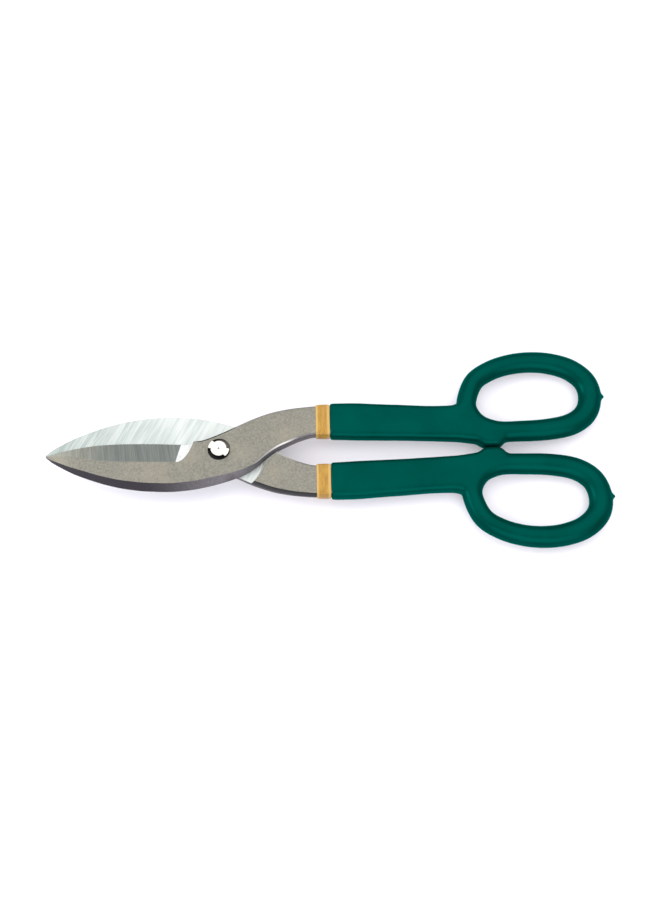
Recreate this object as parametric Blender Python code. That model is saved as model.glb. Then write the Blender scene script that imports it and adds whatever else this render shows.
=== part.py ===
"""Straight-pattern tinner's snips, 12 in class, closed.

Frame: metres, +Z up. +X runs from the pivot towards the finger loops, +Y to the side of the handle
whose blade half lies on top. The origin is on the pivot axis, at the flat end of the pivot bolt.
Both blade halves are the same forging. It is described once, in its own frame: z = 0 is the ground
inner face, +z is outwards, the cutting edge and the handle are on the +y side. The lower half is
the same shape turned half a turn about X.
"""

import math

import bmesh
import bpy
import numpy as np
from mathutils import Matrix, Vector

MM = 0.001

# Driving dimensions, in millimetres.
BLADE_TIP_X = -93.0
HEEL_X = -14.0
BLADE_THICK = 6.5
SHANK_HALF = 3.5
EDGE_LAND = 0.7
EDGE_DRAFT = 0.7
INNER_GAP = 0.1
SHOULDER_R, SHOULDER_SLOPE = 24.0, 0.35
COAT = 1.2
COAT_GAP = 0.15
BAND_START, BAND_END = 51.4, 58.8
BAND_WALL, BAND_GAP = 0.5, 0.1
GRIP_START = 59.1
BAR_END = 160.0
STOP_FACE_Y = 0.35
LUG_SWELL, LUG_RISE, LUG_FALL = (127.0, 138.0), (137.0, 142.5), (150.0, 154.6)
LUG_SWELL_SHARE = 0.25
LOOP_HALF_WIDTH, LOOP_HALF_THICK = 6.05, 5.3
LOOP_FLARE, LOOP_MIDDLE_X = 0.013, 167.0
DRIP_AT = (206.6, 28.5)
DRIP_LENGTH, DRIP_RADIUS = 3.2, 1.7

BOLT_R = 4.0
BORE_R = 4.08
HEAD_R = 4.3
HEAD_LUG_R = 5.7
HEAD_LUG_SPAN = 55.0
HEAD_LUG_AT = 152.0
HEAD_RISE = 1.9
HEAD_SINK = 1.2
RECESS_R = 6.0
TAIL_CHAMFER = 0.6
SHANK_IN_HEAD = 0.5
NUT_FLATS, NUT_HEIGHT = 13.0, 4.2
NUT_Z = 0.4
PART_GAP = 0.05
SPRING_R, SPRING_WALL, SPRING_CONE = 7.6, 0.6, 0.3
WASHER_R, WASHER_WALL = 8.6, 0.8
WASHER_BORE_R = 4.25
NUT_BORE_GAP = 0.1
NUT_EDGE, NUT_FACE_SHARE = 0.9, 0.96
ROUND_STEPS = 48

SPRING_Z = NUT_Z + NUT_HEIGHT + PART_GAP
WASHER_Z = SPRING_Z + SPRING_WALL + SPRING_CONE + PART_GAP
LOWER_FACE_Z = WASHER_Z + WASHER_WALL + PART_GAP
MATING_Z = LOWER_FACE_Z + BLADE_THICK


def through(*points):
    """A smooth function of x through the points. Each is joined to the next by a cubic that neither
    rises past the higher nor falls past the lower."""
    xs, ys = (np.array(c, float) for c in zip(*points))
    chords = np.diff(ys) / np.diff(xs)
    before, after = chords[:-1], chords[1:]
    inner = np.where(before * after > 0, 2 * before * after / (before + after + 1e-12), 0.0)
    slopes = np.concatenate([chords[:1], inner, chords[-1:]])

    def value(x):
        i = int(np.clip(np.searchsorted(xs, x) - 1, 0, len(chords) - 1))
        width = xs[i + 1] - xs[i]
        t = min(max((x - xs[i]) / width, 0.0), 1.0)
        near, far = (1 + 2 * t) * (1 - t) ** 2, t * t * (3 - 2 * t)
        return (near * ys[i] + far * ys[i + 1]
                + width * (t * (1 - t) ** 2 * slopes[i] - t * t * (1 - t) * slopes[i + 1]))

    return value


def ramp(x, start, end):
    t = min(max((x - start) / (end - start), 0.0), 1.0)
    return t * t * (3 - 2 * t)


# The outline of the forging: its back, which runs on as the shank's inner side; its cutting edge;
# and the heel line, which runs on as the shank's outer side.
back = through((-93, -1.0), (-90, -3.5), (-86, -6.0), (-78, -10.2), (-69, -13.8), (-60, -16.8),
               (-50, -19.2), (-38, -20.8), (-26, -21.3), (-15, -20.5), (-3, -18.2), (8, -14.9),
               (14, -12.3), (19.5, -8.8), (25, -3.8), (31, 0.6), (37, 3.6), (43, 6.2), (51, 8.2),
               (60, 8.1), (75, 7.5), (97, 6.9), (118, 6.0), (134, 5.3), (162, 5.0))
edge = through((-93, -0.2), (-86, 1.9), (-80, 3.2), (-73, 4.5), (-65, 5.5), (-52, 6.0), (-38, 5.8),
               (-22, 5.1), (-14, 4.6))
heel = through((-14, 4.6), (-10, 5.6), (0, 9.4), (9, 13.5), (19, 18.2), (31, 22.5), (43, 24.8),
               (52, 25.6), (61, 25.8), (70, 25.8), (86, 24.9), (97, 24.3), (118, 23.2), (124, 23.2),
               (128, 24.0), (131, 25.4), (135, 22.0), (141, 12.5), (150, 8.6), (162, 7.0))
outer_face = through((-93, 1.8), (-85, 3.1), (-76.5, 4.6), (-68, 5.4), (-59, 5.9), (-50, 6.2),
                     (-40, 6.5), (-20, 6.5), (8, 6.5), (21, 6.0), (35, 4.6), (50, 3.55),
                     (60, SHANK_HALF), (162, SHANK_HALF))
back_slope = through((-93, 0.3), (-85, 1.6), (-70, 2.6), (-40, 2.9), (-5, 2.9), (12, 1.6),
                     (25, EDGE_DRAFT), (162, EDGE_DRAFT))
ground_edge = through((-93, -0.6), (-86, -0.9), (-80, -1.5), (-77, -2.0), (-66, -4.3), (-55, -5.5),
                      (-41, -6.2), (-22, -6.7))

LOOP = ((133.9, 27), (138.6, 38.6), (147.5, 45), (158.5, 48.7), (170, 49.9), (181.5, 48.7),
        (192, 44.8), (199.5, 37.6), (201.5, 28.5), (198.3, 19.0), (189.8, 12.8), (177, 10.1),
        (163, 9.4), (150, 9.6), (140.2, 13.4), (135.2, 19.6))


def inner_side(x):
    """The back line with the stop lug, a flat-topped bump near the loop, on a bar that swells to meet it."""
    swell, rise, fall = ramp(x, *LUG_SWELL), ramp(x, *LUG_RISE), 1 - ramp(x, *LUG_FALL)
    lug = (LUG_SWELL_SHARE * swell + (1 - LUG_SWELL_SHARE) * rise) * fall
    return back(x) + (STOP_FACE_Y + COAT - back(x)) * lug


def outer_side(x):
    return edge(x) if x <= HEEL_X else heel(x)


def forging_section(x, grow=0.0):
    """Six corners, widest at the inner face's level, where the forging dies parted."""
    low, high, top = inner_side(x) - grow, outer_side(x) + grow, outer_face(x) + grow
    draft = EDGE_DRAFT * ramp(x, HEEL_X - 1, HEEL_X + 8)
    return [(x, high - draft, -SHANK_HALF - grow), (x, high, 0.0), (x, high - draft, top),
            (x, low + back_slope(x), top), (x, low, 0.0), (x, low + EDGE_DRAFT, -SHANK_HALF - grow)]


def grip_section(x, corners=10):
    """A flat oval around the bar inside the grip."""
    low, high = inner_side(x) - COAT, outer_side(x) + COAT
    half_width, half_thick = (high - low) / 2, SHANK_HALF + COAT
    middle, flat = (high + low) / 2, 0.42
    points = []
    for i in range(corners):
        angle = 2 * math.pi * (i + 0.5) / corners
        c, s = math.cos(angle), math.sin(angle)
        points.append((x, middle + half_width * math.copysign(abs(c) ** flat, c),
                       half_thick * math.copysign(abs(s) ** flat, s)))
    return points


def mesh_object(name, build):
    mesh = bpy.data.meshes.new(name)
    shape = bmesh.new()
    build(shape)
    bmesh.ops.recalc_face_normals(shape, faces=shape.faces)
    bmesh.ops.scale(shape, vec=(MM, MM, MM), verts=shape.verts)
    shape.to_mesh(mesh)
    shape.free()
    obj = bpy.data.objects.new(name, mesh)
    bpy.context.collection.objects.link(obj)
    return obj


def loft(name, rings, closed=False):
    """A solid over rings of equally many points; open ends get caps."""
    def build(shape):
        rows = [[shape.verts.new(p) for p in ring] for ring in rings]
        pairs = list(zip(rows, rows[1:])) + ([(rows[-1], rows[0])] if closed else [])
        for one, two in pairs:
            for i in range(len(one)):
                j = (i + 1) % len(one)
                shape.faces.new((one[i], one[j], two[j], two[i]))
        if not closed:
            shape.faces.new(rows[0])
            shape.faces.new(rows[-1])
    return mesh_object(name, build)


def prism(name, outline, bottom, top):
    return loft(name, [[(x, y, bottom) for x, y in outline], [(x, y, top) for x, y in outline]])


def turned(name, profile, steps=ROUND_STEPS):
    """A solid turned about Z from a closed outline of (radius, z), clear of the axis."""
    rings = []
    for i in range(steps):
        c, s = math.cos(2 * math.pi * i / steps), math.sin(2 * math.pi * i / steps)
        rings.append([(r * c, r * s, z) for r, z in profile])
    return loft(name, rings, closed=True)


def disc(name, radius, bottom, top, steps=ROUND_STEPS):
    turns = [2 * math.pi * (i + 0.5) / steps for i in range(steps)]
    return prism(name, [(radius * math.cos(a), radius * math.sin(a)) for a in turns], bottom, top)


def combine(obj, other, operation):
    """Applies one Boolean and removes the second object."""
    modifier = obj.modifiers.new(operation.lower(), "BOOLEAN")
    modifier.operation, modifier.object, modifier.solver = operation, other, "EXACT"
    graph = bpy.context.evaluated_depsgraph_get()
    mesh = bpy.data.meshes.new_from_object(obj.evaluated_get(graph))
    obj.modifiers.remove(modifier)
    obj.data = mesh
    bpy.data.objects.remove(other)
    return obj


def loop_curve(steps):
    """Points spaced evenly along the closed smooth line through LOOP, and their outward normals."""
    knots = np.array(LOOP, float)
    dense = []
    for i in range(len(knots)):
        a, b, c, d = (knots[(i + k) % len(knots)] for k in (-1, 0, 1, 2))
        for t in np.linspace(0, 1, 20, endpoint=False):
            dense.append(0.5 * (2 * b + (c - a) * t + (2 * a - 5 * b + 4 * c - d) * t ** 2
                                + (3 * b - a - 3 * c + d) * t ** 3))
    dense = np.array(dense + [dense[0]])
    along = np.concatenate([[0], np.cumsum(np.linalg.norm(np.diff(dense, axis=0), axis=1))])
    at = np.linspace(0, along[-1], steps, endpoint=False)
    points = np.stack([np.interp(at, along, dense[:, k]) for k in (0, 1)], axis=1)
    way = np.roll(points, -1, axis=0) - np.roll(points, 1, axis=0)
    way /= np.linalg.norm(way, axis=1)[:, None]
    return points, np.stack([-way[:, 1], way[:, 0]], axis=1)


def loop_ring(name, inset, steps=40, sides=10):
    """The finger loop, an oval tube round LOOP that widens towards the far end."""
    thick, rings = LOOP_HALF_THICK - inset, []
    for point, normal in zip(*loop_curve(steps)):
        width = LOOP_HALF_WIDTH - inset + LOOP_FLARE * (point[0] - LOOP_MIDDLE_X)
        ring = []
        for i in range(sides):
            angle = 2 * math.pi * (i + 0.5) / sides
            across = point + normal * width * math.cos(angle)
            ring.append((across[0], across[1], thick * math.sin(angle)))
        rings.append(ring)
    return loft(name, rings, closed=True)


def stations(start, end, spacing):
    return list(np.linspace(start, end, max(2, round((end - start) / spacing) + 1)))


def bar_stations(start):
    return stations(start, 124, 8.5) + stations(127, 137, 3.4) + stations(138.5, 156.5, 1.8) + [BAR_END]


def inner_relief():
    """What is ground away below the inner face: all of the blade, and round the pivot out to the
    sloping shoulder, which turns off the arc to clear the other shank where the two cross."""
    first, last = math.radians(14), math.radians(90)
    layers = []
    for z in (-10.0, INNER_GAP / 2):
        out = SHOULDER_SLOPE * (INNER_GAP / 2 - z)
        radius = SHOULDER_R + out
        arc = [(radius * math.cos(a), radius * math.sin(a)) for a in np.linspace(first, last, 14)]
        outline = [(32.0 + out, -0.3), *arc, (-120, radius), (-120, -45), (32.0 + out, -45)]
        layers.append([(x, y, z) for x, y in outline])
    return loft("relief", layers)


def edge_grind():
    """The wedge ground off outside the cutting edge, ending at a slanted run-out by the heel."""
    corner_low = Vector((-19.8, edge(-19.8), EDGE_LAND))
    corner_heel = Vector((-13.6, edge(HEEL_X), BLADE_THICK))
    corner_back = Vector((-22.4, ground_edge(-22.0), BLADE_THICK))
    normal = (corner_heel - corner_back).cross(corner_low - corner_back)

    def run_out(y, z):
        rest = normal.y * (y - corner_back.y) + normal.z * (z - corner_back.z)
        return corner_back.x - rest / normal.x

    rings = []
    for x in [BLADE_TIP_X - 2, *stations(BLADE_TIP_X, -30, 4.5), None]:
        at = -22.0 if x is None else max(x, BLADE_TIP_X)
        low, high = ground_edge(at), edge(at) + 0.02
        top = outer_face(at)
        rise = (top - EDGE_LAND) / (high - low)
        ring = [(high + 6, EDGE_LAND - 6 * rise), (low - 3, top + 3 * rise), (high + 6, top + 3 * rise)]
        rings.append([(run_out(y, z) if x is None else x, y, z) for y, z in ring])
    return loft("grind", rings)


def forging():
    """One blade half: blade, boss, shank, bar and loop in one piece, with its pivot bore."""
    xs = (stations(BLADE_TIP_X, -85, 2) + stations(-81, -17, 4) + stations(HEEL_X, 38, 3)
          + stations(42, 58, 4) + bar_stations(62))
    half = loft("forging", [forging_section(x) for x in xs])
    combine(half, loop_ring("loop", COAT, sides=8), "UNION")
    combine(half, inner_relief(), "DIFFERENCE")
    combine(half, edge_grind(), "DIFFERENCE")
    combine(half, disc("bore", BORE_R, -20, 20), "DIFFERENCE")
    return half


def band():
    xs = [BAND_START, (BAND_START + BAND_END) / 2, BAND_END]
    grown = BAND_GAP + BAND_WALL
    sleeve = loft("band", [forging_section(x, grown) for x in xs])
    bore_xs = [BAND_START - 1, *xs, BAND_END + 1]
    return combine(sleeve, loft("inside", [forging_section(x, BAND_GAP) for x in bore_xs]), "DIFFERENCE")


def grip():
    """The dipped coat: a skin over the bar, the stop lug and the loop, open where the shank enters,
    with the drip that hangs from the loop's end after dipping."""
    coat = loft("grip", [grip_section(x) for x in bar_stations(GRIP_START)])
    combine(coat, loop_ring("outside", 0.0), "UNION")
    x, y = DRIP_AT
    tip = [(x + DRIP_LENGTH * f, DRIP_RADIUS * r) for f, r in ((-0.6, 1.2), (0, 1), (0.7, 0.45), (1, 0.15))]
    turns = [2 * math.pi * i / 8 for i in range(8)]
    rings = [[(at, y + r * math.cos(a), r * math.sin(a)) for a in turns] for at, r in tip]
    combine(coat, loft("drip", rings), "UNION")
    inside_xs = [GRIP_START - 3, *bar_stations(GRIP_START)]
    inside = loft("inside", [forging_section(x, COAT_GAP) for x in inside_xs])
    combine(inside, loop_ring("inside_loop", COAT - COAT_GAP, sides=8), "UNION")
    return combine(coat, inside, "DIFFERENCE")


def bolt():
    """Pivot bolt. Its round head carries two opposite lugs, and sits in a recess of the upper half."""
    face = MATING_Z + BLADE_THICK
    seat = face - HEAD_SINK + PART_GAP
    head_top = face + HEAD_RISE
    turns = [2 * math.pi * (i + 0.5) / ROUND_STEPS for i in range(ROUND_STEPS)]
    layers = [(BOLT_R - TAIL_CHAMFER, 0.0), (BOLT_R, TAIL_CHAMFER), (BOLT_R, seat + SHANK_IN_HEAD)]
    shank = loft("pivot_bolt", [[(r * math.cos(a), r * math.sin(a), z) for a in turns] for r, z in layers])
    outline = []
    for i in range(ROUND_STEPS * 2):
        degrees = 360 * (i + 0.5) / (ROUND_STEPS * 2)
        off = min((degrees - HEAD_LUG_AT) % 180, (HEAD_LUG_AT - degrees) % 180)
        radius = HEAD_LUG_R if off < HEAD_LUG_SPAN / 2 else HEAD_R
        outline.append((radius * math.cos(math.radians(degrees)), radius * math.sin(math.radians(degrees))))
    return combine(shank, prism("head", outline, seat, head_top), "UNION")


def nut():
    corner = NUT_FLATS / 2 / math.cos(math.pi / 6)
    hexagon = [(corner * math.cos(math.pi * i / 3), corner * math.sin(math.pi * i / 3)) for i in range(6)]
    body = prism("pivot_nut", hexagon, NUT_Z, NUT_Z + NUT_HEIGHT)
    flat, beyond = NUT_FLATS / 2 * NUT_FACE_SHARE, corner * 1.04
    top = NUT_Z + NUT_HEIGHT
    rounding = turned("rounding", [(0.01, NUT_Z - 1), (flat, NUT_Z - 0.001), (beyond, NUT_Z + NUT_EDGE),
                                   (beyond, top - NUT_EDGE), (flat, top + 0.001), (0.01, top + 1)])
    combine(body, rounding, "INTERSECT")
    return combine(body, disc("bore", BOLT_R + NUT_BORE_GAP, NUT_Z - 1, top + 1), "DIFFERENCE")


def spring_washer():
    """A disc spring: a shallow cone, its outer rim against the washer above."""
    low, rim = SPRING_Z, SPRING_Z + SPRING_CONE
    return turned("spring_washer", [(WASHER_BORE_R, low), (SPRING_R, rim), (SPRING_R, rim + SPRING_WALL),
                                    (WASHER_BORE_R, low + SPRING_WALL)])


def washer():
    top = WASHER_Z + WASHER_WALL
    return turned("flat_washer", [(WASHER_BORE_R, WASHER_Z), (WASHER_R, WASHER_Z), (WASHER_R, top),
                                  (WASHER_BORE_R, top)])


def material(name, colour, roughness, metallic):
    made = bpy.data.materials.new(name)
    made.use_nodes = True
    shader = made.node_tree.nodes["Principled BSDF"]
    shader.inputs["Base Color"].default_value = (*colour, 1.0)
    shader.inputs["Roughness"].default_value = roughness
    shader.inputs["Metallic"].default_value = metallic
    return made


def place(obj, name, finish, lower=False):
    """Names the piece, gives it its material and puts the half that it belongs to in the assembly."""
    obj.name = name
    obj.data.materials.clear()
    obj.data.materials.append(finish)
    obj.location = (0, 0, MATING_Z * MM)
    obj.rotation_euler = (math.pi if lower else 0, 0, 0)
    obj.data.shade_smooth()
    obj.data.set_sharp_from_angle(angle=math.radians(30))


def both(piece, upper_name, lower_name, finish):
    twin = bpy.data.objects.new(lower_name, piece.data.copy())
    bpy.context.collection.objects.link(twin)
    place(piece, upper_name, finish)
    place(twin, lower_name, finish, lower=True)


def main():
    for obj in list(bpy.data.objects):
        bpy.data.objects.remove(obj)
    steel = material("forged_steel", (0.50, 0.49, 0.46), 0.38, 1.0)
    green = material("dipped_vinyl", (0.0, 0.10, 0.075), 0.35, 0.0)
    gold = material("gold_band", (0.70, 0.42, 0.10), 0.40, 0.3)
    zinc = material("plated_steel", (0.80, 0.80, 0.76), 0.22, 1.0)
    both(forging(), "upper_blade_half", "lower_blade_half", steel)
    recess = disc("recess", RECESS_R, BLADE_THICK - HEAD_SINK, 20)
    recess.location.z = MATING_Z * MM
    bpy.context.view_layer.update()
    combine(bpy.data.objects["upper_blade_half"], recess, "DIFFERENCE")
    both(band(), "upper_grip_band", "lower_grip_band", gold)
    both(grip(), "upper_grip", "lower_grip", green)
    for piece in (bolt(), nut(), spring_washer(), washer()):
        piece.data.materials.append(zinc)
        piece.data.shade_smooth()
        piece.data.set_sharp_from_angle(angle=math.radians(30))


main()
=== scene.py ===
"""The looks of the straight-pattern tinner's snips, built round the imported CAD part.

Everything is in the part's own frame: metres, +Z up, +X from the pivot towards the finger loops. The
forgings, grips and bands are described once, in the frame of the upper half, where z = 0 is the
ground inner face. The lower half is the same shape turned half a turn about X.
"""

import math

import bmesh
import bpy
import numpy as np
from mathutils import Matrix, Vector, noise

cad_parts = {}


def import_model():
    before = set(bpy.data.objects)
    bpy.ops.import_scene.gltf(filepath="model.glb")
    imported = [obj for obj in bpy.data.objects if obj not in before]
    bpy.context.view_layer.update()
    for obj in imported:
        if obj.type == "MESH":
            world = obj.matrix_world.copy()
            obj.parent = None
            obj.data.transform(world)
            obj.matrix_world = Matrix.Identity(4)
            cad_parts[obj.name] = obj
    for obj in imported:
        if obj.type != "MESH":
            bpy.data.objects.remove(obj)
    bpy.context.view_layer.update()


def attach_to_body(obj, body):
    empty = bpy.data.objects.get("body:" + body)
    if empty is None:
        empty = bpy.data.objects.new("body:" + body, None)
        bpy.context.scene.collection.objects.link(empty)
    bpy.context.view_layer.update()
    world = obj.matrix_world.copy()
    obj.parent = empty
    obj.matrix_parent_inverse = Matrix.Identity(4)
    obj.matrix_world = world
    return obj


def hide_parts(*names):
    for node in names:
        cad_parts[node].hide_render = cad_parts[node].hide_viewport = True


MM = 0.001

# Sizes, in millimetres. Those of the CAD part keep their values there, but for the loop's tube, which is
# a little slimmer, because its round section reaches out further than the CAD part's ten flat sides.
MATING_Z = 12.95
BLADE_THICK = 6.5
SHANK_HALF = 3.5
BLADE_TIP_X = -93.0
HEEL_X = -14.0
EDGE_LAND = 0.7
EDGE_DRAFT = 0.7
SHOULDER_R, SHOULDER_SLOPE, CROSSING_X = 24.0, 0.35, 32.0
COAT = 1.2
BAND_START, BAND_END = 51.4, 59.2
GRIP_START = 59.1
BAR_THIN_X, BAR_END, BAR_THINNING = 146.0, 160.0, 2.2
FORGING_END = 66.0
STOP_FACE_Y = 0.35
LUG_SWELL, LUG_RISE, LUG_FALL = (127.0, 138.0), (137.0, 142.5), (150.0, 154.6)
LUG_SWELL_SHARE = 0.25
LOOP_HALF_WIDTH, LOOP_HALF_THICK = 5.88, 5.3
LOOP_FLARE, LOOP_MIDDLE_X = 0.013, 167.0
DRIP_AT = (206.6, 28.5)
BORE_R, RECESS_R, HEAD_SINK = 4.08, 6.0, 1.2

# The camera, and the floor, which the laid-down snips touch with the bolt's tail and the ends of the loops.
VIEW_POINT = (59.0, 0.7, MATING_Z)
VIEW_ELEVATION, VIEW_TURN = 70.0, 1.2
VIEW_DISTANCE, FOCAL_SHARE = 583.0, 1086 / 900
FLOOR_NEAR_X, FLOOR_FAR_X, FLOOR_FAR_Z = 3.4, 201.5, 7.6


def through(*points):
    """A smooth function of x through the points. Each is joined to the next by a cubic that neither
    rises past the higher nor falls past the lower."""
    xs, ys = (np.array(c, float) for c in zip(*points))
    chords = np.diff(ys) / np.diff(xs)
    before, after = chords[:-1], chords[1:]
    inner = np.where(before * after > 0, 2 * before * after / (before + after + 1e-12), 0.0)
    slopes = np.concatenate([chords[:1], inner, chords[-1:]])

    def value(x):
        i = int(np.clip(np.searchsorted(xs, x) - 1, 0, len(chords) - 1))
        width = xs[i + 1] - xs[i]
        t = min(max((x - xs[i]) / width, 0.0), 1.0)
        near, far = (1 + 2 * t) * (1 - t) ** 2, t * t * (3 - 2 * t)
        return (near * ys[i] + far * ys[i + 1]
                + width * (t * (1 - t) ** 2 * slopes[i] - t * t * (1 - t) * slopes[i + 1]))

    return value


def ramp(x, start, end):
    """0 up to start, 1 from end on, and a smooth rise between."""
    t = min(max((x - start) / (end - start), 0.0), 1.0)
    return t * t * (3 - 2 * t)


# The outline of the forging: its back, which runs on as the shank's inner side; its cutting edge;
# and the heel line, which runs on as the shank's outer side.
back = through((-93, -1.0), (-90, -3.5), (-86, -6.0), (-78, -10.2), (-69, -13.8), (-60, -16.8),
               (-50, -19.2), (-38, -20.8), (-26, -21.3), (-15, -20.5), (-3, -18.2), (8, -14.9),
               (14, -12.3), (19.5, -8.8), (25, -3.8), (31, 0.6), (37, 3.6), (43, 6.2), (51, 8.2),
               (60, 8.1), (75, 7.5), (97, 6.9), (118, 6.0), (134, 5.3), (162, 5.0))
edge = through((-93, -0.2), (-86, 1.9), (-80, 3.2), (-73, 4.5), (-65, 5.5), (-52, 6.0), (-38, 5.8),
               (-22, 5.1), (-14, 4.6))
heel = through((-14, 4.6), (-10, 5.6), (0, 9.4), (9, 13.5), (19, 18.2), (31, 22.5), (43, 24.8),
               (52, 25.6), (61, 25.8), (70, 25.8), (86, 24.9), (97, 24.3), (118, 23.2), (124, 23.2),
               (128, 24.0), (131, 25.4), (135, 22.0), (141, 12.5), (150, 8.6), (162, 7.0))
outer_face = through((-93, 1.8), (-85, 3.1), (-76.5, 4.6), (-68, 5.4), (-59, 5.9), (-50, 6.2),
                     (-40, 6.5), (-20, 6.5), (8, 6.5), (21, 6.0), (35, 4.6), (50, 3.55),
                     (60, SHANK_HALF), (162, SHANK_HALF))
back_slope = through((-93, 0.3), (-85, 1.6), (-70, 2.6), (-40, 2.9), (-5, 2.9), (12, 1.6),
                     (25, EDGE_DRAFT), (162, EDGE_DRAFT))
ground_edge = through((-93, -0.6), (-86, -0.9), (-80, -1.5), (-77, -2.0), (-66, -4.3), (-55, -5.5),
                      (-41, -6.2), (-22, -6.7))

LOOP = ((133.9, 27), (138.6, 38.6), (147.5, 45), (158.5, 48.7), (170, 49.9), (181.5, 48.7),
        (192, 44.8), (199.5, 37.6), (201.5, 28.5), (198.3, 19.0), (189.8, 12.8), (177, 10.1),
        (163, 9.4), (150, 9.6), (140.2, 13.4), (135.2, 19.6))


def inner_side(x):
    """The back line with the stop lug, a flat-topped bump near the loop, on a bar that swells to meet it."""
    swell, rise, fall = ramp(x, *LUG_SWELL), ramp(x, *LUG_RISE), 1 - ramp(x, *LUG_FALL)
    lug = (LUG_SWELL_SHARE * swell + (1 - LUG_SWELL_SHARE) * rise) * fall
    return back(x) + (STOP_FACE_Y + COAT - back(x)) * lug


def outer_side(x):
    return edge(x) if x <= HEEL_X else heel(x)


# Meshes ------------------------------------------------------------------------------------------

def mesh_object(name, build):
    mesh = bpy.data.meshes.new(name)
    shape = bmesh.new()
    build(shape)
    bmesh.ops.recalc_face_normals(shape, faces=shape.faces)
    bmesh.ops.scale(shape, vec=(MM, MM, MM), verts=shape.verts)
    shape.to_mesh(mesh)
    shape.free()
    obj = bpy.data.objects.new(name, mesh)
    bpy.context.collection.objects.link(obj)
    return obj


def loft(name, rings, closed=False):
    """A solid over rings of equally many points; open ends get caps."""
    def build(shape):
        rows = [[shape.verts.new(p) for p in ring] for ring in rings]
        pairs = list(zip(rows, rows[1:])) + ([(rows[-1], rows[0])] if closed else [])
        for one, two in pairs:
            for i in range(len(one)):
                j = (i + 1) % len(one)
                shape.faces.new((one[i], one[j], two[j], two[i]))
        if not closed:
            shape.faces.new(rows[0])
            shape.faces.new(rows[-1])
    return mesh_object(name, build)


def prism(name, outline, bottom, top):
    return loft(name, [[(x, y, bottom) for x, y in outline], [(x, y, top) for x, y in outline]])


def circle(radius, steps, turn=0.0):
    """Points round a circle, the first one turned on by a share of a step."""
    angles = [2 * math.pi * (i + turn) / steps for i in range(steps)]
    return [(radius * math.cos(a), radius * math.sin(a)) for a in angles]


def turned(name, profile, steps=96):
    """A solid turned about Z from a closed outline of (radius, z), clear of the axis."""
    return loft(name, [[(r * c, r * s, z) for r, z in profile] for c, s in circle(1.0, steps)], True)


def stack(name, layers, steps=96):
    """A solid from circles of (radius, z), capped at both ends."""
    return loft(name, [[(x, y, z) for x, y in circle(r, steps)] for r, z in layers])


def apply_modifiers(obj):
    """Gives the object the mesh that its modifiers make, and takes them off."""
    graph = bpy.context.evaluated_depsgraph_get()
    mesh = bpy.data.meshes.new_from_object(obj.evaluated_get(graph))
    obj.modifiers.clear()
    obj.data = mesh


def combine(obj, other, operation):
    """Applies one Boolean, whose new faces keep the second object's materials, and removes that object."""
    modifier = obj.modifiers.new(operation.lower(), "BOOLEAN")
    modifier.operation, modifier.object, modifier.solver = operation, other, "EXACT"
    modifier.material_mode = "TRANSFER"
    apply_modifiers(obj)
    bpy.data.objects.remove(other)
    return obj


def smooth(obj, degrees, keep_flats=False):
    """Shades round faces smooth; keep_flats leaves large flat faces flat right up to their rounded edges."""
    obj.data.shade_smooth()
    obj.data.set_sharp_from_angle(angle=math.radians(degrees))
    if keep_flats:
        weighted = obj.modifiers.new("flats", "WEIGHTED_NORMAL")
        weighted.weight, weighted.keep_sharp = 100, True
        apply_modifiers(obj)


def stations(start, end, spacing):
    """Evenly spaced values from start to end, as near to the spacing as they fit."""
    return list(np.linspace(start, end, max(2, round((end - start) / spacing) + 1)))


def rounded(corners, radii, steps=4):
    """The corners of a section in the y-z plane, each cut by an arc of its own radius."""
    points = []
    for i, (corner, radius) in enumerate(zip(corners, radii)):
        here = np.array(corner)
        before = np.array(corners[i - 1]) - here
        after = np.array(corners[(i + 1) % len(corners)]) - here
        reach = min(radius, 0.45 * np.linalg.norm(before), 0.45 * np.linalg.norm(after))
        first = here + before / max(np.linalg.norm(before), 1e-6) * reach
        last = here + after / max(np.linalg.norm(after), 1e-6) * reach
        for t in np.linspace(0, 1, steps):
            points.append(tuple((1 - t) ** 2 * first + 2 * t * (1 - t) * here + t * t * last))
    return points


# The steel halves --------------------------------------------------------------------------------

def forging_section(x, grow=0.0):
    """The forging's section, widest where the dies parted, with the corners that the dies round."""
    low, high, top = inner_side(x) - grow, outer_side(x) + grow, outer_face(x) + grow
    draft = EDGE_DRAFT * ramp(x, HEEL_X - 1, HEEL_X + 8)
    under = -SHANK_HALF - grow
    corners = [(high - draft, under), (high, 0.0), (high - draft, top),
               (low + back_slope(x), top), (low, 0.0), (low + EDGE_DRAFT, under)]
    heel_round = 0.95 * ramp(x, HEEL_X + 1, HEEL_X + 4)
    back_round = 0.2 + 2.2 * ramp(x, 8, 32)
    radii = [1.2, 0.5 * ramp(x, HEEL_X, 20), heel_round, back_round, 0.4, 1.2]
    return [(x, y, z) for y, z in rounded(corners, radii)]


def inner_relief(finish, shoulder_painted_highlight_finish):
    """What is ground away below the inner face, out to the sloping shoulder round the pivot, which turns
    off the arc to clear the other shank where the two cross."""
    first, last = math.radians(14), math.radians(90)
    inner_face, far_x, far_y = 0.05, -120, -45
    layers = []
    for z in (-10.0, inner_face):
        out = SHOULDER_SLOPE * (inner_face - z)
        radius = SHOULDER_R + out
        arc = [(radius * math.cos(a), radius * math.sin(a)) for a in np.linspace(first, last, 48)]
        outline = [(CROSSING_X + out, -0.3), *arc, (far_x, radius), (far_x, far_y), (CROSSING_X + out, far_y)]
        layers.append([(x, y, z) for x, y in outline])
    cutter = loft("relief", layers)
    cutter.data.materials.append(finish)
    cutter.data.materials.append(shoulder_painted_highlight_finish)
    # The shoulder's sloping wall takes the bright hollow colour as a painted highlight; the flat floor takes
    # the inner face's finish.
    for face in cutter.data.polygons:
        face.material_index = 0 if abs(face.normal.z) > 0.9 else 1
    return cutter


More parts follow.
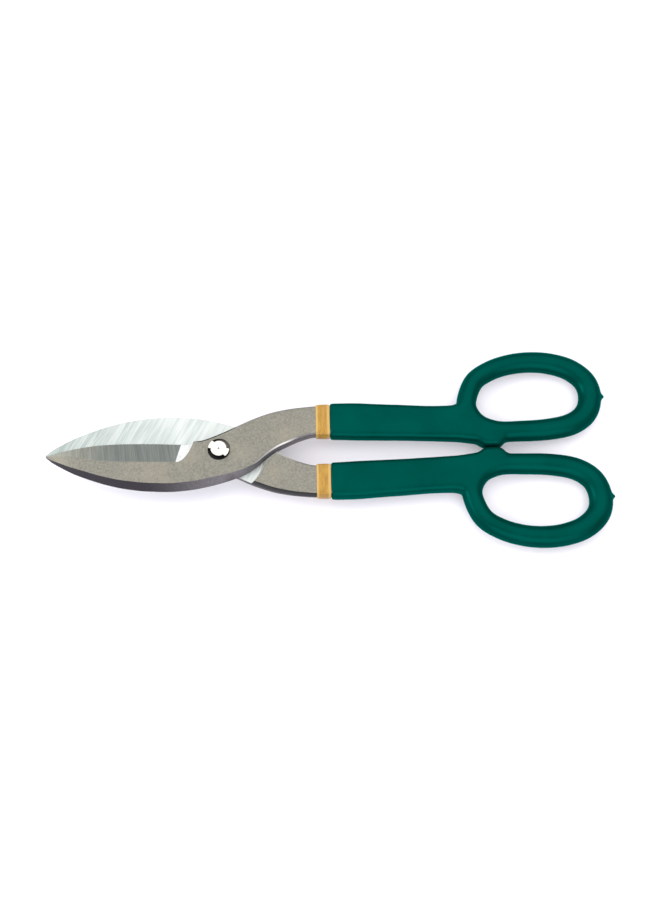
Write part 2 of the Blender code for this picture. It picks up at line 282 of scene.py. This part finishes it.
def edge_grind(finish, wheel_finish):
    """The wedge ground off outside the cutting edge, and the hollow that the wheel leaves by the heel.
    The hollow is part of a cylinder that touches the wedge along a slanting line."""
    corner_low = Vector((-19.8, edge(-19.8), EDGE_LAND))
    corner_heel = Vector((-13.6, edge(HEEL_X), BLADE_THICK))
    corner_back = Vector((-22.4, ground_edge(-22.0), BLADE_THICK))
    wedge, rise = bevel_wedge(corner_low, corner_back)

    line = (corner_back - corner_low).normalized()
    facing = Vector((0, rise, 1)).normalized()
    facing = (facing - line * facing.dot(line)).normalized()
    aside = line.cross(facing)
    reach = corner_heel - corner_low
    reach -= line * reach.dot(line)
    radius = reach.length_squared / (2 * reach.dot(facing))
    wheel = []
    for along in (-12.0, 30.0):
        middle = corner_low + line * along + facing * radius
        wheel.append([tuple(middle + radius * (c * facing + s * aside)) for c, s in circle(1.0, 192)])
    hollow = loft("wheel", wheel)
    wedge.data.materials.append(finish)
    hollow.data.materials.append(wheel_finish)
    return wedge, hollow


def bevel_wedge(corner_low, corner_back):
    """The wedge, cut off along the slanting line between the two corners, and its rise per millimetre."""
    slant = (corner_low.x - corner_back.x) / (corner_low.y - corner_back.y)
    beyond, behind = 6, 3
    rings = []
    for x in [BLADE_TIP_X - 2, *stations(BLADE_TIP_X, -27, 1.0), None]:
        at = corner_back.x if x is None else max(x, BLADE_TIP_X)
        low, high, top = ground_edge(at), edge(at) + 0.02, outer_face(at)
        rise = (top - EDGE_LAND) / (high - low)
        ring = [(high + beyond, EDGE_LAND - beyond * rise), (low - behind, top + behind * rise),
                (high + beyond, top + behind * rise)]
        rings.append([(x or corner_low.x + slant * (y - corner_low.y), y, z) for y, z in ring])
    return loft("grind", rings), rise


def forging(name, finishes, with_recess):
    """One blade half up to just inside its grip, its faces finished by how each was made."""
    xs = stations(BLADE_TIP_X, -88, 0.5) + stations(-87, FORGING_END, 1.0)
    half = loft(name, [forging_section(x) for x in xs])
    half.data.materials.append(finishes["forged"])
    combine(half, inner_relief(finishes["inner"], finishes["hollow"]), "DIFFERENCE")
    for cutter in edge_grind(finishes["bevel"], finishes["hollow"]):
        combine(half, cutter, "DIFFERENCE")
    bore = stack("bore", [(BORE_R, -20), (BORE_R, 20)])
    bore.data.materials.append(finishes["recess"])
    combine(half, bore, "DIFFERENCE")
    if with_recess:
        recess = stack("recess", [(RECESS_R, BLADE_THICK - HEAD_SINK), (RECESS_R, 20)])
        recess.data.materials.append(finishes["recess"])
        combine(half, recess, "DIFFERENCE")
    smooth(half, 24, keep_flats=True)
    return half


def band(name, finish):
    """The band at the grip's mouth: a thin sleeve whose edges wander a little."""
    rings = []
    wall = [(0.0, 0.12), (0.02, 0.45), (0.1, 0.6), (0.5, 0.66), (0.9, 0.6), (1.0, 0.45), (1.0, 0.1)]
    for i in range(len(forging_section(BAND_START))):
        start = BAND_START + 0.22 * noise.noise(Vector((i * 0.3, 4.0, 0.0)))
        stops = [(start + (BAND_END - start) * share, grow) for share, grow in wall]
        rings.append([forging_section(x, grow)[i] for x, grow in stops])
    sleeve = loft(name, rings, closed=True)
    sleeve.data.materials.append(finish)
    subdivide = sleeve.modifiers.new("fine", "SUBSURF")
    subdivide.levels = subdivide.render_levels = 1
    apply_modifiers(sleeve)
    smooth(sleeve, 60)
    return sleeve


# The dipped grips --------------------------------------------------------------------------------

def loop_curve(steps):
    """Points spaced evenly along the closed smooth line through LOOP, and their outward normals."""
    knots = np.array(LOOP, float)
    dense = []
    for i in range(len(knots)):
        a, b, c, d = (knots[(i + k) % len(knots)] for k in (-1, 0, 1, 2))
        for t in np.linspace(0, 1, 20, endpoint=False):
            dense.append(0.5 * (2 * b + (c - a) * t + (2 * a - 5 * b + 4 * c - d) * t ** 2
                                + (3 * b - a - 3 * c + d) * t ** 3))
    dense = np.array(dense + [dense[0]])
    along = np.concatenate([[0], np.cumsum(np.linalg.norm(np.diff(dense, axis=0), axis=1))])
    at = np.linspace(0, along[-1], steps, endpoint=False)
    points = np.stack([np.interp(at, along, dense[:, k]) for k in (0, 1)], axis=1)
    way = np.roll(points, -1, axis=0) - np.roll(points, 1, axis=0)
    way /= np.linalg.norm(way, axis=1)[:, None]
    return points, np.stack([-way[:, 1], way[:, 0]], axis=1)


def grip_section(x, corners=48):
    """A flat oval around the bar inside the grip. It thickens to the loop and thins out inside its tube."""
    low, high = inner_side(x) - COAT, outer_side(x) + COAT
    half_width = (high - low) / 2
    bar_half = SHANK_HALF + COAT
    half_thick = bar_half + (LOOP_HALF_THICK - bar_half) * ramp(x, 112, 138)
    half_thick -= BAR_THINNING * ramp(x, BAR_THIN_X, BAR_END)
    middle, flat = (high + low) / 2, 0.5
    points = []
    for c, s in circle(1.0, corners, 0.5):
        points.append((x, middle + half_width * math.copysign(abs(c) ** flat, c),
                       half_thick * math.copysign(abs(s) ** flat, s)))
    return points


def loop_ring(steps=160, sides=32):
    """The finger loop: an oval tube along the loop's line, a little wider towards the loop's far end."""
    rings = []
    for point, normal in zip(*loop_curve(steps)):
        width = LOOP_HALF_WIDTH + LOOP_FLARE * (point[0] - LOOP_MIDDLE_X)
        ring = []
        for c, s in circle(1.0, sides, 0.5):
            across = point + normal * width * c
            ring.append((across[0], across[1], LOOP_HALF_THICK * s))
        rings.append(ring)
    return loft("ring", rings, closed=True)


def drip():
    """The drop that sets at the loop's end as the dipped coat runs off."""
    x, y = DRIP_AT
    profile = [(-2.0, 2.6), (0.0, 2.1), (1.2, 1.7), (2.2, 1.25), (2.9, 0.8), (3.2, 0.3)]
    return loft("drip", [[(x + at, y + a, b) for a, b in circle(r, 24)] for at, r in profile])


def grip(name, finish):
    """The coat over the bar, the stop lug and the loop, with every junction run together by the dip."""
    coat = loft(name, [grip_section(x) for x in stations(GRIP_START, BAR_END, 1.0)])
    for piece in (loop_ring(), drip()):
        combine(coat, piece, "UNION")
    remesh = coat.modifiers.new("skin", "REMESH")
    remesh.mode, remesh.voxel_size = "VOXEL", 0.55 * MM
    flow = coat.modifiers.new("flow", "SMOOTH")
    flow.factor, flow.iterations = 0.5, 36
    apply_modifiers(coat)
    coat.data.materials.clear()
    coat.data.materials.append(finish)
    mouth_xs = stations(GRIP_START - 4, GRIP_START + 6, 2.0)
    mouth = loft("mouth", [forging_section(x, 0.12) for x in mouth_xs])
    mouth.data.materials.append(finish)
    combine(coat, mouth, "DIFFERENCE")
    smooth(coat, 50)
    return coat


# The pivot ---------------------------------------------------------------------------------------

BOLT_R, TAIL_CHAMFER = 4.0, 0.6
HEAD_R, HEAD_RISE = 4.3, 1.9
HEAD_LUG_R, HEAD_LUG_SPAN, HEAD_LUG_AT, HEAD_LUG_DROP = 5.7, 55.0, 152.0, 0.18
NUT_Z, NUT_HEIGHT, NUT_FLATS = 0.4, 4.2, 13.0
SPRING_Z, SPRING_WALL, SPRING_CONE, SPRING_R = 4.65, 0.6, 0.3, 7.6
WASHER_Z, WASHER_WALL, WASHER_R, WASHER_BORE_R = 5.6, 0.8, 8.6, 4.25
THREAD_PITCH, THREAD_DEPTH, THREAD_TOP = 1.25, 0.55, 5.2


def lug_outline(shrink, steps=288):
    """The head's outline: a circle with two opposite lugs, whose flanks slope over a few degrees."""
    points = []
    for i in range(steps):
        degrees = 360 * (i + 0.5) / steps
        off = min((degrees - HEAD_LUG_AT) % 180, (HEAD_LUG_AT - degrees) % 180)
        out = 1 - ramp(off, HEAD_LUG_SPAN / 2 - 4, HEAD_LUG_SPAN / 2)
        radius = HEAD_R + (HEAD_LUG_R - HEAD_R) * out - shrink
        points.append((radius * math.cos(math.radians(degrees)), radius * math.sin(math.radians(degrees))))
    return points


def bolt_head(finish):
    """A low round head with two lugs nearly as high as its crown, which has a small centre mark."""
    seat = MATING_Z + BLADE_THICK - HEAD_SINK + 0.05
    top = MATING_Z + BLADE_THICK + HEAD_RISE
    lug_top = top - HEAD_LUG_DROP
    layers = [(0.0, seat), (0.0, lug_top - 0.3), (0.12, lug_top - 0.08), (0.35, lug_top)]
    lugs = loft("lugs", [[(x, y, z) for x, y in lug_outline(shrink)] for shrink, z in layers])
    rim = [(4.1, top - 0.35), (4.06, top - 0.16), (3.95, top - 0.05), (3.75, top - 0.01), (3.0, top)]
    centre_mark = [(0.75, top), (0.6, top - 0.03), (0.45, top - 0.14), (0.1, top - 0.2)]
    crown = stack("pivot_bolt_head", [(3.0, seat), (4.1, seat + 0.2), *rim, *centre_mark])
    combine(crown, lugs, "UNION")
    crown.data.materials.clear()
    crown.data.materials.append(finish)
    smooth(crown, 35)
    return crown


def bolt_shank(finish):
    """The bolt below its head, with its thread up to the washers and a chamfered tail."""
    steps, rings = 64, []
    for z in stations(0.0, THREAD_TOP, THREAD_PITCH / 10):
        ring = []
        for i in range(steps):
            turn = i / steps
            phase = (z / THREAD_PITCH - turn) % 1.0
            ends = ramp(z, 0.0, 1.0) * (1 - ramp(z, THREAD_TOP - 0.6, THREAD_TOP))
            depth = THREAD_DEPTH * (1 - abs(2 * phase - 1)) * ends
            radius = min(BOLT_R - depth, BOLT_R - TAIL_CHAMFER + z)
            ring.append((radius * math.cos(2 * math.pi * turn), radius * math.sin(2 * math.pi * turn), z))
        rings.append(ring)
    top = MATING_Z + BLADE_THICK - HEAD_SINK + 0.3
    rings.append([(x, y, top) for x, y in circle(BOLT_R, steps)])
    shank = loft("pivot_bolt_shank", rings)
    shank.data.materials.append(finish)
    smooth(shank, 35)
    return shank


def nut(finish):
    """The hexagon nut, with its corners turned down at both ends and a countersunk bore."""
    corner = NUT_FLATS / 2 / math.cos(math.pi / 6)
    top = NUT_Z + NUT_HEIGHT
    body = prism("pivot_nut_body", circle(corner, 6), NUT_Z, top)
    flat, beyond, end = NUT_FLATS / 2 * 0.95, corner * 1.04, 0.95
    rounding = turned("rounding", [(0.01, NUT_Z - 1), (flat, NUT_Z - 0.001), (beyond, NUT_Z + end),
                                   (beyond, top - end), (flat, top + 0.001), (0.01, top + 1)])
    combine(body, rounding, "INTERSECT")
    bore_r = BOLT_R + 0.1
    bore = stack("bore", [(BOLT_R + 0.75, NUT_Z - 0.1), (bore_r, NUT_Z + 0.6), (bore_r, top + 1)])
    combine(body, bore, "DIFFERENCE")
    bevel = body.modifiers.new("edges", "BEVEL")
    bevel.width, bevel.segments, bevel.limit_method = 0.12 * MM, 2, "ANGLE"
    bevel.angle_limit = math.radians(28)
    apply_modifiers(body)
    body.data.materials.clear()
    body.data.materials.append(finish)
    smooth(body, 30)
    return body


def spring_washer(finish):
    """A disc spring: a shallow cone with soft edges."""
    low, rim, soft = SPRING_Z, SPRING_Z + SPRING_CONE, 0.12
    piece = turned("spring_washer_body", [
        (WASHER_BORE_R, low + soft), (WASHER_BORE_R + soft, low), (SPRING_R - soft, rim),
        (SPRING_R, rim + soft), (SPRING_R, rim + SPRING_WALL - soft), (SPRING_R - soft, rim + SPRING_WALL),
        (WASHER_BORE_R + soft, low + SPRING_WALL), (WASHER_BORE_R, low + SPRING_WALL - soft)])
    piece.data.materials.append(finish)
    smooth(piece, 50)
    return piece


def flat_washer(finish):
    top, soft = WASHER_Z + WASHER_WALL, 0.15
    piece = turned("flat_washer_body", [
        (WASHER_BORE_R, WASHER_Z + soft), (WASHER_BORE_R + soft, WASHER_Z), (WASHER_R - soft, WASHER_Z),
        (WASHER_R, WASHER_Z + soft), (WASHER_R, top - soft), (WASHER_R - soft, top),
        (WASHER_BORE_R + soft, top), (WASHER_BORE_R, top - soft)])
    piece.data.materials.append(finish)
    smooth(piece, 50)
    return piece


# Materials ---------------------------------------------------------------------------------------

class Finish:
    """A Principled material whose nodes are fed by object coordinates in millimetres."""

    def __init__(self, name, roughness, metallic, **fixed):
        self.material = bpy.data.materials.new(name)
        self.material.use_nodes = True
        self.tree = self.material.node_tree
        self.shader = self.tree.nodes["Principled BSDF"]
        self.shader.inputs["Roughness"].default_value = roughness
        self.shader.inputs["Metallic"].default_value = metallic
        for socket, value in fixed.items():
            self.shader.inputs[socket.replace("_", " ")].default_value = value
        self.coordinates = self.tree.nodes.new("ShaderNodeTexCoord").outputs["Object"]

    def node(self, kind, **settings):
        made = self.tree.nodes.new(kind)
        for name, value in settings.items():
            setattr(made, name, value)
        return made

    def link(self, source, target):
        self.tree.links.new(source, target)

    def place(self, stretch=(1, 1, 1), turn=0.0):
        """Coordinates in millimetres, turned about Z by some degrees and then stretched."""
        turned_by = self.node("ShaderNodeMapping", vector_type="POINT")
        turned_by.inputs["Rotation"].default_value = (0, 0, math.radians(turn))
        self.link(self.coordinates, turned_by.inputs["Vector"])
        scaled = self.node("ShaderNodeMapping", vector_type="POINT")
        scaled.inputs["Scale"].default_value = [s / MM for s in stretch]
        self.link(turned_by.outputs["Vector"], scaled.inputs["Vector"])
        return scaled.outputs["Vector"]

    def noise(self, scale, detail=2.0, stretch=(1, 1, 1), turn=0.0, roughness=0.5):
        """Noise with this many features per millimetre."""
        made = self.node("ShaderNodeTexNoise")
        made.inputs["Scale"].default_value = scale
        made.inputs["Detail"].default_value = detail
        made.inputs["Roughness"].default_value = roughness
        self.link(self.place(stretch, turn), made.inputs["Vector"])
        return made.outputs["Fac"]

    def coordinate(self, axis):
        """One object coordinate, in millimetres."""
        split = self.node("ShaderNodeSeparateXYZ")
        self.link(self.place(), split.inputs["Vector"])
        return split.outputs[axis]

    def along(self, axis, start, end):
        """0 before start and 1 after end, along one axis, in millimetres."""
        return self.span(self.coordinate(axis), start, end, 0.0, 1.0)

    def span(self, value, low, high, to_low, to_high):
        made = self.node("ShaderNodeMapRange", interpolation_type="SMOOTHSTEP")
        for socket, number in zip(("From Min", "From Max", "To Min", "To Max"), (low, high, to_low, to_high)):
            made.inputs[socket].default_value = number
        self.link(value, made.inputs["Value"])
        return made.outputs["Result"]

    def maths(self, operation, a, b):
        made = self.node("ShaderNodeMath", operation=operation)
        for i, value in enumerate((a, b)):
            if isinstance(value, (int, float)):
                made.inputs[i].default_value = value
            else:
                self.link(value, made.inputs[i])
        return made.outputs["Value"]

    def mix(self, share, one, two):
        made = self.node("ShaderNodeMix", data_type="RGBA")
        self.link(share, made.inputs["Factor"])
        for socket, value in (("A", one), ("B", two)):
            target = next(s for s in made.inputs if s.name == socket and s.type == "RGBA")
            if isinstance(value, tuple):
                target.default_value = (*value, 1.0)
            else:
                self.link(value, target)
        return next(s for s in made.outputs if s.type == "RGBA")

    def colour(self, value):
        self.link(value, self.shader.inputs["Base Color"])

    def roughness(self, value):
        self.link(value, self.shader.inputs["Roughness"])

    def bump(self, height, distance_mm, strength=1.0):
        """Adds a bump on top of those already there."""
        made = self.node("ShaderNodeBump")
        made.inputs["Strength"].default_value = strength
        made.inputs["Distance"].default_value = distance_mm * MM
        self.link(height, made.inputs["Height"])
        normal = self.shader.inputs["Normal"]
        if normal.links:
            self.link(normal.links[0].from_socket, made.inputs["Normal"])
        self.link(made.outputs["Normal"], normal)


def normal_part(finish, axis):
    """One part of the object's own surface normal."""
    split = finish.node("ShaderNodeSeparateXYZ")
    finish.link(finish.node("ShaderNodeTexCoord").outputs["Normal"], split.inputs["Vector"])
    return split.outputs[axis]


def forged_finish():
    """Blasted grey steel on the faces. The walls get darker copies of it as painted shade, darkest on the
    blade's back, along the heel and on the shanks' outer sides; the shanks' rounded inner sides get a painted
    highlight."""
    finish = Finish("forged_steel", 0.5, 0.55)
    grain = finish.noise(2.6, 3.0, roughness=0.7)
    mottle = finish.noise(0.9, 4.0, roughness=0.75)
    cloud = finish.noise(0.06, 3.0)
    speckle = finish.span(grain, 0.32, 0.68, 0.0, 1.0)
    face = finish.mix(finish.span(mottle, 0.3, 0.7, 0.0, 1.0), (0.128, 0.122, 0.100), (0.235, 0.228, 0.192))
    face = finish.mix(finish.maths("MULTIPLY", speckle, 0.35), face, (0.18, 0.174, 0.146))
    face = finish.mix(finish.span(cloud, 0.42, 0.66, 0.0, 0.4), face, (0.26, 0.240, 0.180))
    # Painted shade: the walls get darker copies of the steel's colour, near black on the blade's back.
    far_wall_painted_shade = finish.mix(speckle, (0.075, 0.070, 0.078), (0.22, 0.21, 0.215))
    blade_wall_painted_shade = finish.mix(speckle, (0.010, 0.008, 0.012), (0.028, 0.023, 0.031))
    wall = finish.mix(finish.along("X", -42, 6), blade_wall_painted_shade, far_wall_painted_shade)
    # Painted shade: near black on the shanks' outer side walls and on the heel's rounded edge.
    outer = finish.span(finish.maths("ABSOLUTE", finish.coordinate("Y"), 0.0), 12.0, 18.0, 0.0, 1.0)
    outer = finish.maths("MULTIPLY", outer, finish.along("X", 2, 8))
    half = finish.span(finish.coordinate("Z"), MATING_Z - 1, MATING_Z + 1, -1.0, 1.0)
    heel_side = finish.span(finish.maths("MULTIPLY", normal_part(finish, "Y"), half), 0.02, 0.1, 0.0, 1.0)
    heel_side = finish.maths("MULTIPLY", heel_side, finish.along("X", 12, 6))
    outer = finish.maths("MAXIMUM", outer, heel_side)
    wall = finish.mix(outer, wall, (0.012, 0.012, 0.013))
    facing = finish.maths("ABSOLUTE", normal_part(finish, "Z"), 0.0)
    # Painted highlight: the shanks' rounded inner sides, between x 16 and 44, are coloured near white.
    rounded_edge_painted_highlight = finish.span(facing, 0.5, 0.72, 0.0, 1.0)
    rounded_edge_painted_highlight = finish.maths("MULTIPLY", rounded_edge_painted_highlight, finish.along("X", 16, 24))
    rounded_edge_painted_highlight = finish.maths("MULTIPLY", rounded_edge_painted_highlight, finish.along("X", 44, 34))
    rounded_edge_painted_highlight = finish.maths("MULTIPLY", rounded_edge_painted_highlight, finish.maths("SUBTRACT", 1.0, outer))
    wall = finish.mix(rounded_edge_painted_highlight, wall, (0.75, 0.74, 0.71))
    # The heel's rounded edge is pushed further into the painted shade. Where the normal is not near vertical,
    # the walls take the painted-shade colour.
    facing = finish.maths("SUBTRACT", facing, finish.maths("MULTIPLY", heel_side, 0.3))
    finish.colour(finish.mix(finish.span(facing, 0.78, 0.88, 0.0, 1.0), wall, face))
    finish.roughness(finish.span(grain, 0.2, 0.8, 0.40, 0.60))
    finish.bump(grain, 0.05, 0.5)
    finish.bump(finish.noise(0.7, 2.0), 0.05, 0.25)
    return finish.material


def inner_finish(slant):
    """The flat-ground inner face: bright, with broad slanting wheel marks and fine ones along them."""
    finish = Finish("ground_inner_face", 0.3, 0.7)
    fine = finish.noise(1.0, 3.0, (1.7, 0.05, 1.0), slant, 0.65)
    broad = finish.noise(1.0, 3.0, (0.35, 0.03, 1.0), slant)
    light = finish.mix(finish.along("X", -85, -15), (0.33, 0.37, 0.355), (0.47, 0.50, 0.48))
    dark = finish.mix(finish.along("X", -85, -15), (0.25, 0.295, 0.28), (0.36, 0.40, 0.385))
    ground = finish.mix(finish.span(broad, 0.38, 0.62, 0.0, 1.0), dark, light)
    finish.colour(finish.mix(finish.span(fine, 0.42, 0.66, 0.0, 0.55), ground, (0.56, 0.585, 0.57)))
    finish.roughness(finish.span(fine, 0.25, 0.75, 0.30, 0.48))
    finish.bump(fine, 0.010, 0.5)
    return finish.material


def bevel_finish():
    """The ground cutting bevel, with fine marks across the edge. It brightens towards the tip."""
    finish = Finish("ground_bevel", 0.48, 0.5)
    fine = finish.noise(1.0, 1.0, (2.4, 0.04, 0.04), -12.0, 0.5)
    broad = finish.noise(1.0, 2.0, (0.20, 0.02, 0.02), -12.0)
    marks = finish.span(fine, 0.35, 0.65, 0.0, 1.0)
    dark = finish.mix(marks, (0.150, 0.170, 0.155), (0.200, 0.220, 0.204))
    light = finish.mix(marks, (0.27, 0.278, 0.222), (0.37, 0.378, 0.315))
    shade = finish.mix(finish.span(broad, 0.35, 0.65, 0.0, 0.10), dark, light)
    finish.colour(finish.mix(finish.along("X", -52, -88), shade, light))
    finish.roughness(finish.span(fine, 0.25, 0.75, 0.30, 0.46))
    finish.bump(fine, 0.012, 0.5)
    return finish.material


def hollow_and_highlight_finish():
    """The bright hollow where the bevel's wheel ran out; the same near-white colour on the pivot shoulder's
    wall is a painted highlight.
    """
    finish = Finish("ground_hollow_and_painted_highlight", 0.3, 0.2)
    marks = finish.noise(1.0, 3.0, (0.5, 3.0, 3.0), -12.0)
    finish.colour(finish.mix(finish.span(marks, 0.35, 0.7, 0.0, 1.0), (0.60, 0.61, 0.60), (0.86, 0.87, 0.86)))
    finish.bump(marks, 0.01, 0.4)
    return finish.material


def recess_finish():
    """The bore and recess: near black as painted shade, turning lighter grey towards +X and +Y as a painted
    lit side.
    """
    finish = Finish("recess_steel", 0.5, 0.6)
    # Painted shade: near black in the deep bore and recess. A lighter grey is painted where light falls in on
    # the +X+Y side.
    recess_painted_shade = finish.mix(finish.noise(2.0, 2.0), (0.002, 0.002, 0.003), (0.012, 0.011, 0.010))
    lit_side_share = finish.maths("ADD", finish.coordinate("X"), finish.coordinate("Y"))
    finish.colour(finish.mix(finish.span(lit_side_share, 2.5, 6.5, 0.0, 0.8), recess_painted_shade, (0.13, 0.115, 0.105)))
    return finish.material


def plated_finish(name="bright_plating", walls=(0.80, 0.79, 0.74)):
    """Bright plating, slightly mottled, on walls of another colour."""
    finish = Finish(name, 0.35, 0.55)
    marks = finish.noise(1.4, 3.0)
    plate = finish.mix(finish.span(marks, 0.35, 0.7, 0.0, 1.0), (0.60, 0.595, 0.52), (0.74, 0.73, 0.65))
    facing = finish.maths("ABSOLUTE", normal_part(finish, "Z"), 0.0)
    finish.colour(finish.mix(finish.span(facing, 0.35, 0.80, 0.0, 1.0), walls, plate))
    finish.roughness(finish.span(marks, 0.3, 0.7, 0.30, 0.45))
    finish.bump(marks, 0.008, 0.3)
    return finish


def head_finish():
    """The bolt's head: plated on top, near black on its walls as painted shade, and dark in its small centre
    mark.
    """
    # Painted shade: the head's walls are coloured near black.
    finish = plated_finish("bolt_head_plating", (0.010, 0.010, 0.009))
    plate = finish.shader.inputs["Base Color"].links[0].from_socket
    x, y = (finish.coordinate(axis) for axis in "XY")
    off_centre = finish.maths("ADD", finish.maths("MULTIPLY", x, x), finish.maths("MULTIPLY", y, y))
    finish.colour(finish.mix(finish.span(off_centre, 0.08, 0.4, 0.0, 1.0), (0.10, 0.095, 0.07), plate))
    return finish.material


def band_finish():
    """Gold band, a little mottled, lighter along its two edges."""
    finish = Finish("gold_band_finish", 0.42, 0.15)
    mottle = finish.noise(1.0, 3.0, (1.1, 0.22, 0.5))
    body = finish.mix(finish.span(mottle, 0.3, 0.7, 0.0, 1.0), (0.275, 0.138, 0.010), (0.385, 0.212, 0.022))
    edges = finish.maths("MAXIMUM", finish.along("X", 53.3, 52.2), finish.along("X", 57.3, 58.3))
    finish.colour(finish.mix(finish.maths("MULTIPLY", edges, 0.65), body, (0.54, 0.35, 0.11)))
    finish.roughness(finish.span(mottle, 0.3, 0.7, 0.34, 0.5))
    finish.bump(finish.noise(0.9, 3.0), 0.08, 0.35)
    return finish.material


def vinyl_finish():
    """Dipped vinyl: deep teal green with a soft gloss of its own colour, fine specks and the slow waves
    of a coat that has run."""
    finish = Finish("dipped_vinyl_finish", 0.36, 0.45, Specular_IOR_Level=0.0,
                    Specular_Tint=(0.02, 1.0, 0.9, 1.0))
    cloud = finish.noise(0.05, 3.0)
    specks = finish.noise(1.6, 2.0)
    body = finish.mix(finish.span(cloud, 0.3, 0.7, 0.0, 1.0), (0.0, 0.045, 0.035), (0.0, 0.055, 0.043))
    finish.colour(finish.mix(finish.span(specks, 0.70, 0.78, 0.0, 0.45), body, (0.005, 0.15, 0.12)))
    finish.roughness(finish.span(cloud, 0.3, 0.7, 0.30, 0.40))
    finish.bump(finish.noise(0.13, 2.0), 0.35, 0.35)
    finish.bump(specks, 0.03, 0.35)
    return finish.material


# Assembly ----------------------------------------------------------------------------------------

def seat(obj, body, node, slot, lower=False):
    """Puts a piece made in the upper half's frame in place on its body, instead of its CAD node."""
    turn = Matrix.Rotation(math.pi, 4, "X") if lower else Matrix.Identity(4)
    obj.data.transform(Matrix.Translation((0, 0, MATING_Z * MM)) @ turn)
    attach(obj, body, node)


def attach(obj, body, node):
    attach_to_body(obj, body)
    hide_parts(node)


def build_halves():
    vinyl, gold = vinyl_finish(), band_finish()
    finishes = {"forged": forged_finish(), "inner": inner_finish(28.0), "bevel": bevel_finish(),
                "hollow": hollow_and_highlight_finish(), "recess": recess_finish()}
    for lower in (False, True):
        side, body = ("lower", "lower_half") if lower else ("upper", "upper_half")
        seat(forging(side + "_steel", finishes, not lower), body, side + "_blade_half", "forged_steel", lower)
        seat(band(side + "_band", gold), body, side + "_grip_band", "gold_band", lower)
        seat(grip(side + "_coat", vinyl), body, side + "_grip", "dipped_vinyl", lower)


def build_pivot():
    plating = plated_finish().material
    attach(bolt_head(head_finish()), "upper_half", "pivot_bolt")
    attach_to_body(bolt_shank(plating), "upper_half")
    attach(nut(plating), "upper_half", "pivot_nut")
    attach(spring_washer(plating), "upper_half", "spring_washer")
    attach(flat_washer(plating), "upper_half", "flat_washer")


def floor():
    """A pale floor, tilted so that the part lies on it as it does when laid down."""
    size = 6.0
    bpy.ops.mesh.primitive_plane_add(size=size)
    ground = bpy.context.object
    ground.name = "floor"
    slope = math.atan2(FLOOR_FAR_Z, FLOOR_FAR_X - FLOOR_NEAR_X)
    ground.rotation_euler = (0, -slope, 0)
    ground.location = (0, 0, -math.tan(slope) * FLOOR_NEAR_X * MM)
    paper = bpy.data.materials.new("floor_paper")
    paper.use_nodes = True
    shader = paper.node_tree.nodes["Principled BSDF"]
    shader.inputs["Base Color"].default_value = (0.68, 0.67, 0.715, 1.0)
    shader.inputs["Roughness"].default_value = 0.9
    shader.inputs["Specular IOR Level"].default_value = 0.1
    shader.inputs["Emission Color"].default_value = (0.97, 0.95, 1.0, 1.0)
    shader.inputs["Emission Strength"].default_value = 0.265
    ground.data.materials.append(paper)


def area_light(name, place, aim, size, power, colour=(1, 1, 1)):
    data = bpy.data.lights.new(name, "AREA")
    data.shape, data.size, data.size_y = "RECTANGLE", size[0], size[1]
    data.energy, data.color = power, colour
    light = bpy.data.objects.new(name, data)
    light.location = place
    light.rotation_euler = (Vector(aim) - Vector(place)).to_track_quat("-Z", "Y").to_euler()
    bpy.context.collection.objects.link(light)


def studio():
    world = bpy.data.worlds.new("studio")
    world.use_nodes = True
    background = world.node_tree.nodes["Background"]
    background.inputs["Color"].default_value = (0.95, 0.93, 1.0, 1.0)
    background.inputs["Strength"].default_value = 0.42
    bpy.context.scene.world = world
    middle = (0.06, 0.0, 0.0)
    area_light("key", (0.24, 0.46, 1.02), middle, (1.7, 1.4), 14.0, (1.0, 0.995, 0.98))
    area_light("side", (-0.75, 0.10, 0.50), middle, (0.6, 0.45), 5.5, (1.0, 1.0, 1.0))
    area_light("fill", (0.15, -0.8, 0.75), middle, (1.2, 0.9), 10.0, (0.98, 0.98, 1.0))
    bpy.context.scene.view_settings.view_transform = "Standard"


def camera():
    data = bpy.data.cameras.new("camera")
    data.sensor_fit, data.sensor_height = "VERTICAL", 36.0
    data.lens = 36.0 * FOCAL_SHARE
    data.clip_start, data.clip_end = 0.01, 20.0
    tilt, turn = math.radians(VIEW_ELEVATION), math.radians(VIEW_TURN)
    away = Vector((math.sin(turn) * math.cos(tilt), math.cos(turn) * math.cos(tilt), -math.sin(tilt)))
    eye = bpy.data.objects.new("camera", data)
    eye.location = (Vector(VIEW_POINT) - away * VIEW_DISTANCE) * MM
    eye.rotation_euler = away.to_track_quat("-Z", "Y").to_euler()
    bpy.context.collection.objects.link(eye)
    bpy.context.scene.camera = eye


def sides(bounds):
    return [[float(v) for v in corner] for corner in bounds]


def main():
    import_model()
    build_halves()
    build_pivot()
    floor()
    studio()
    camera()
    bpy.context.view_layer.update()


main()
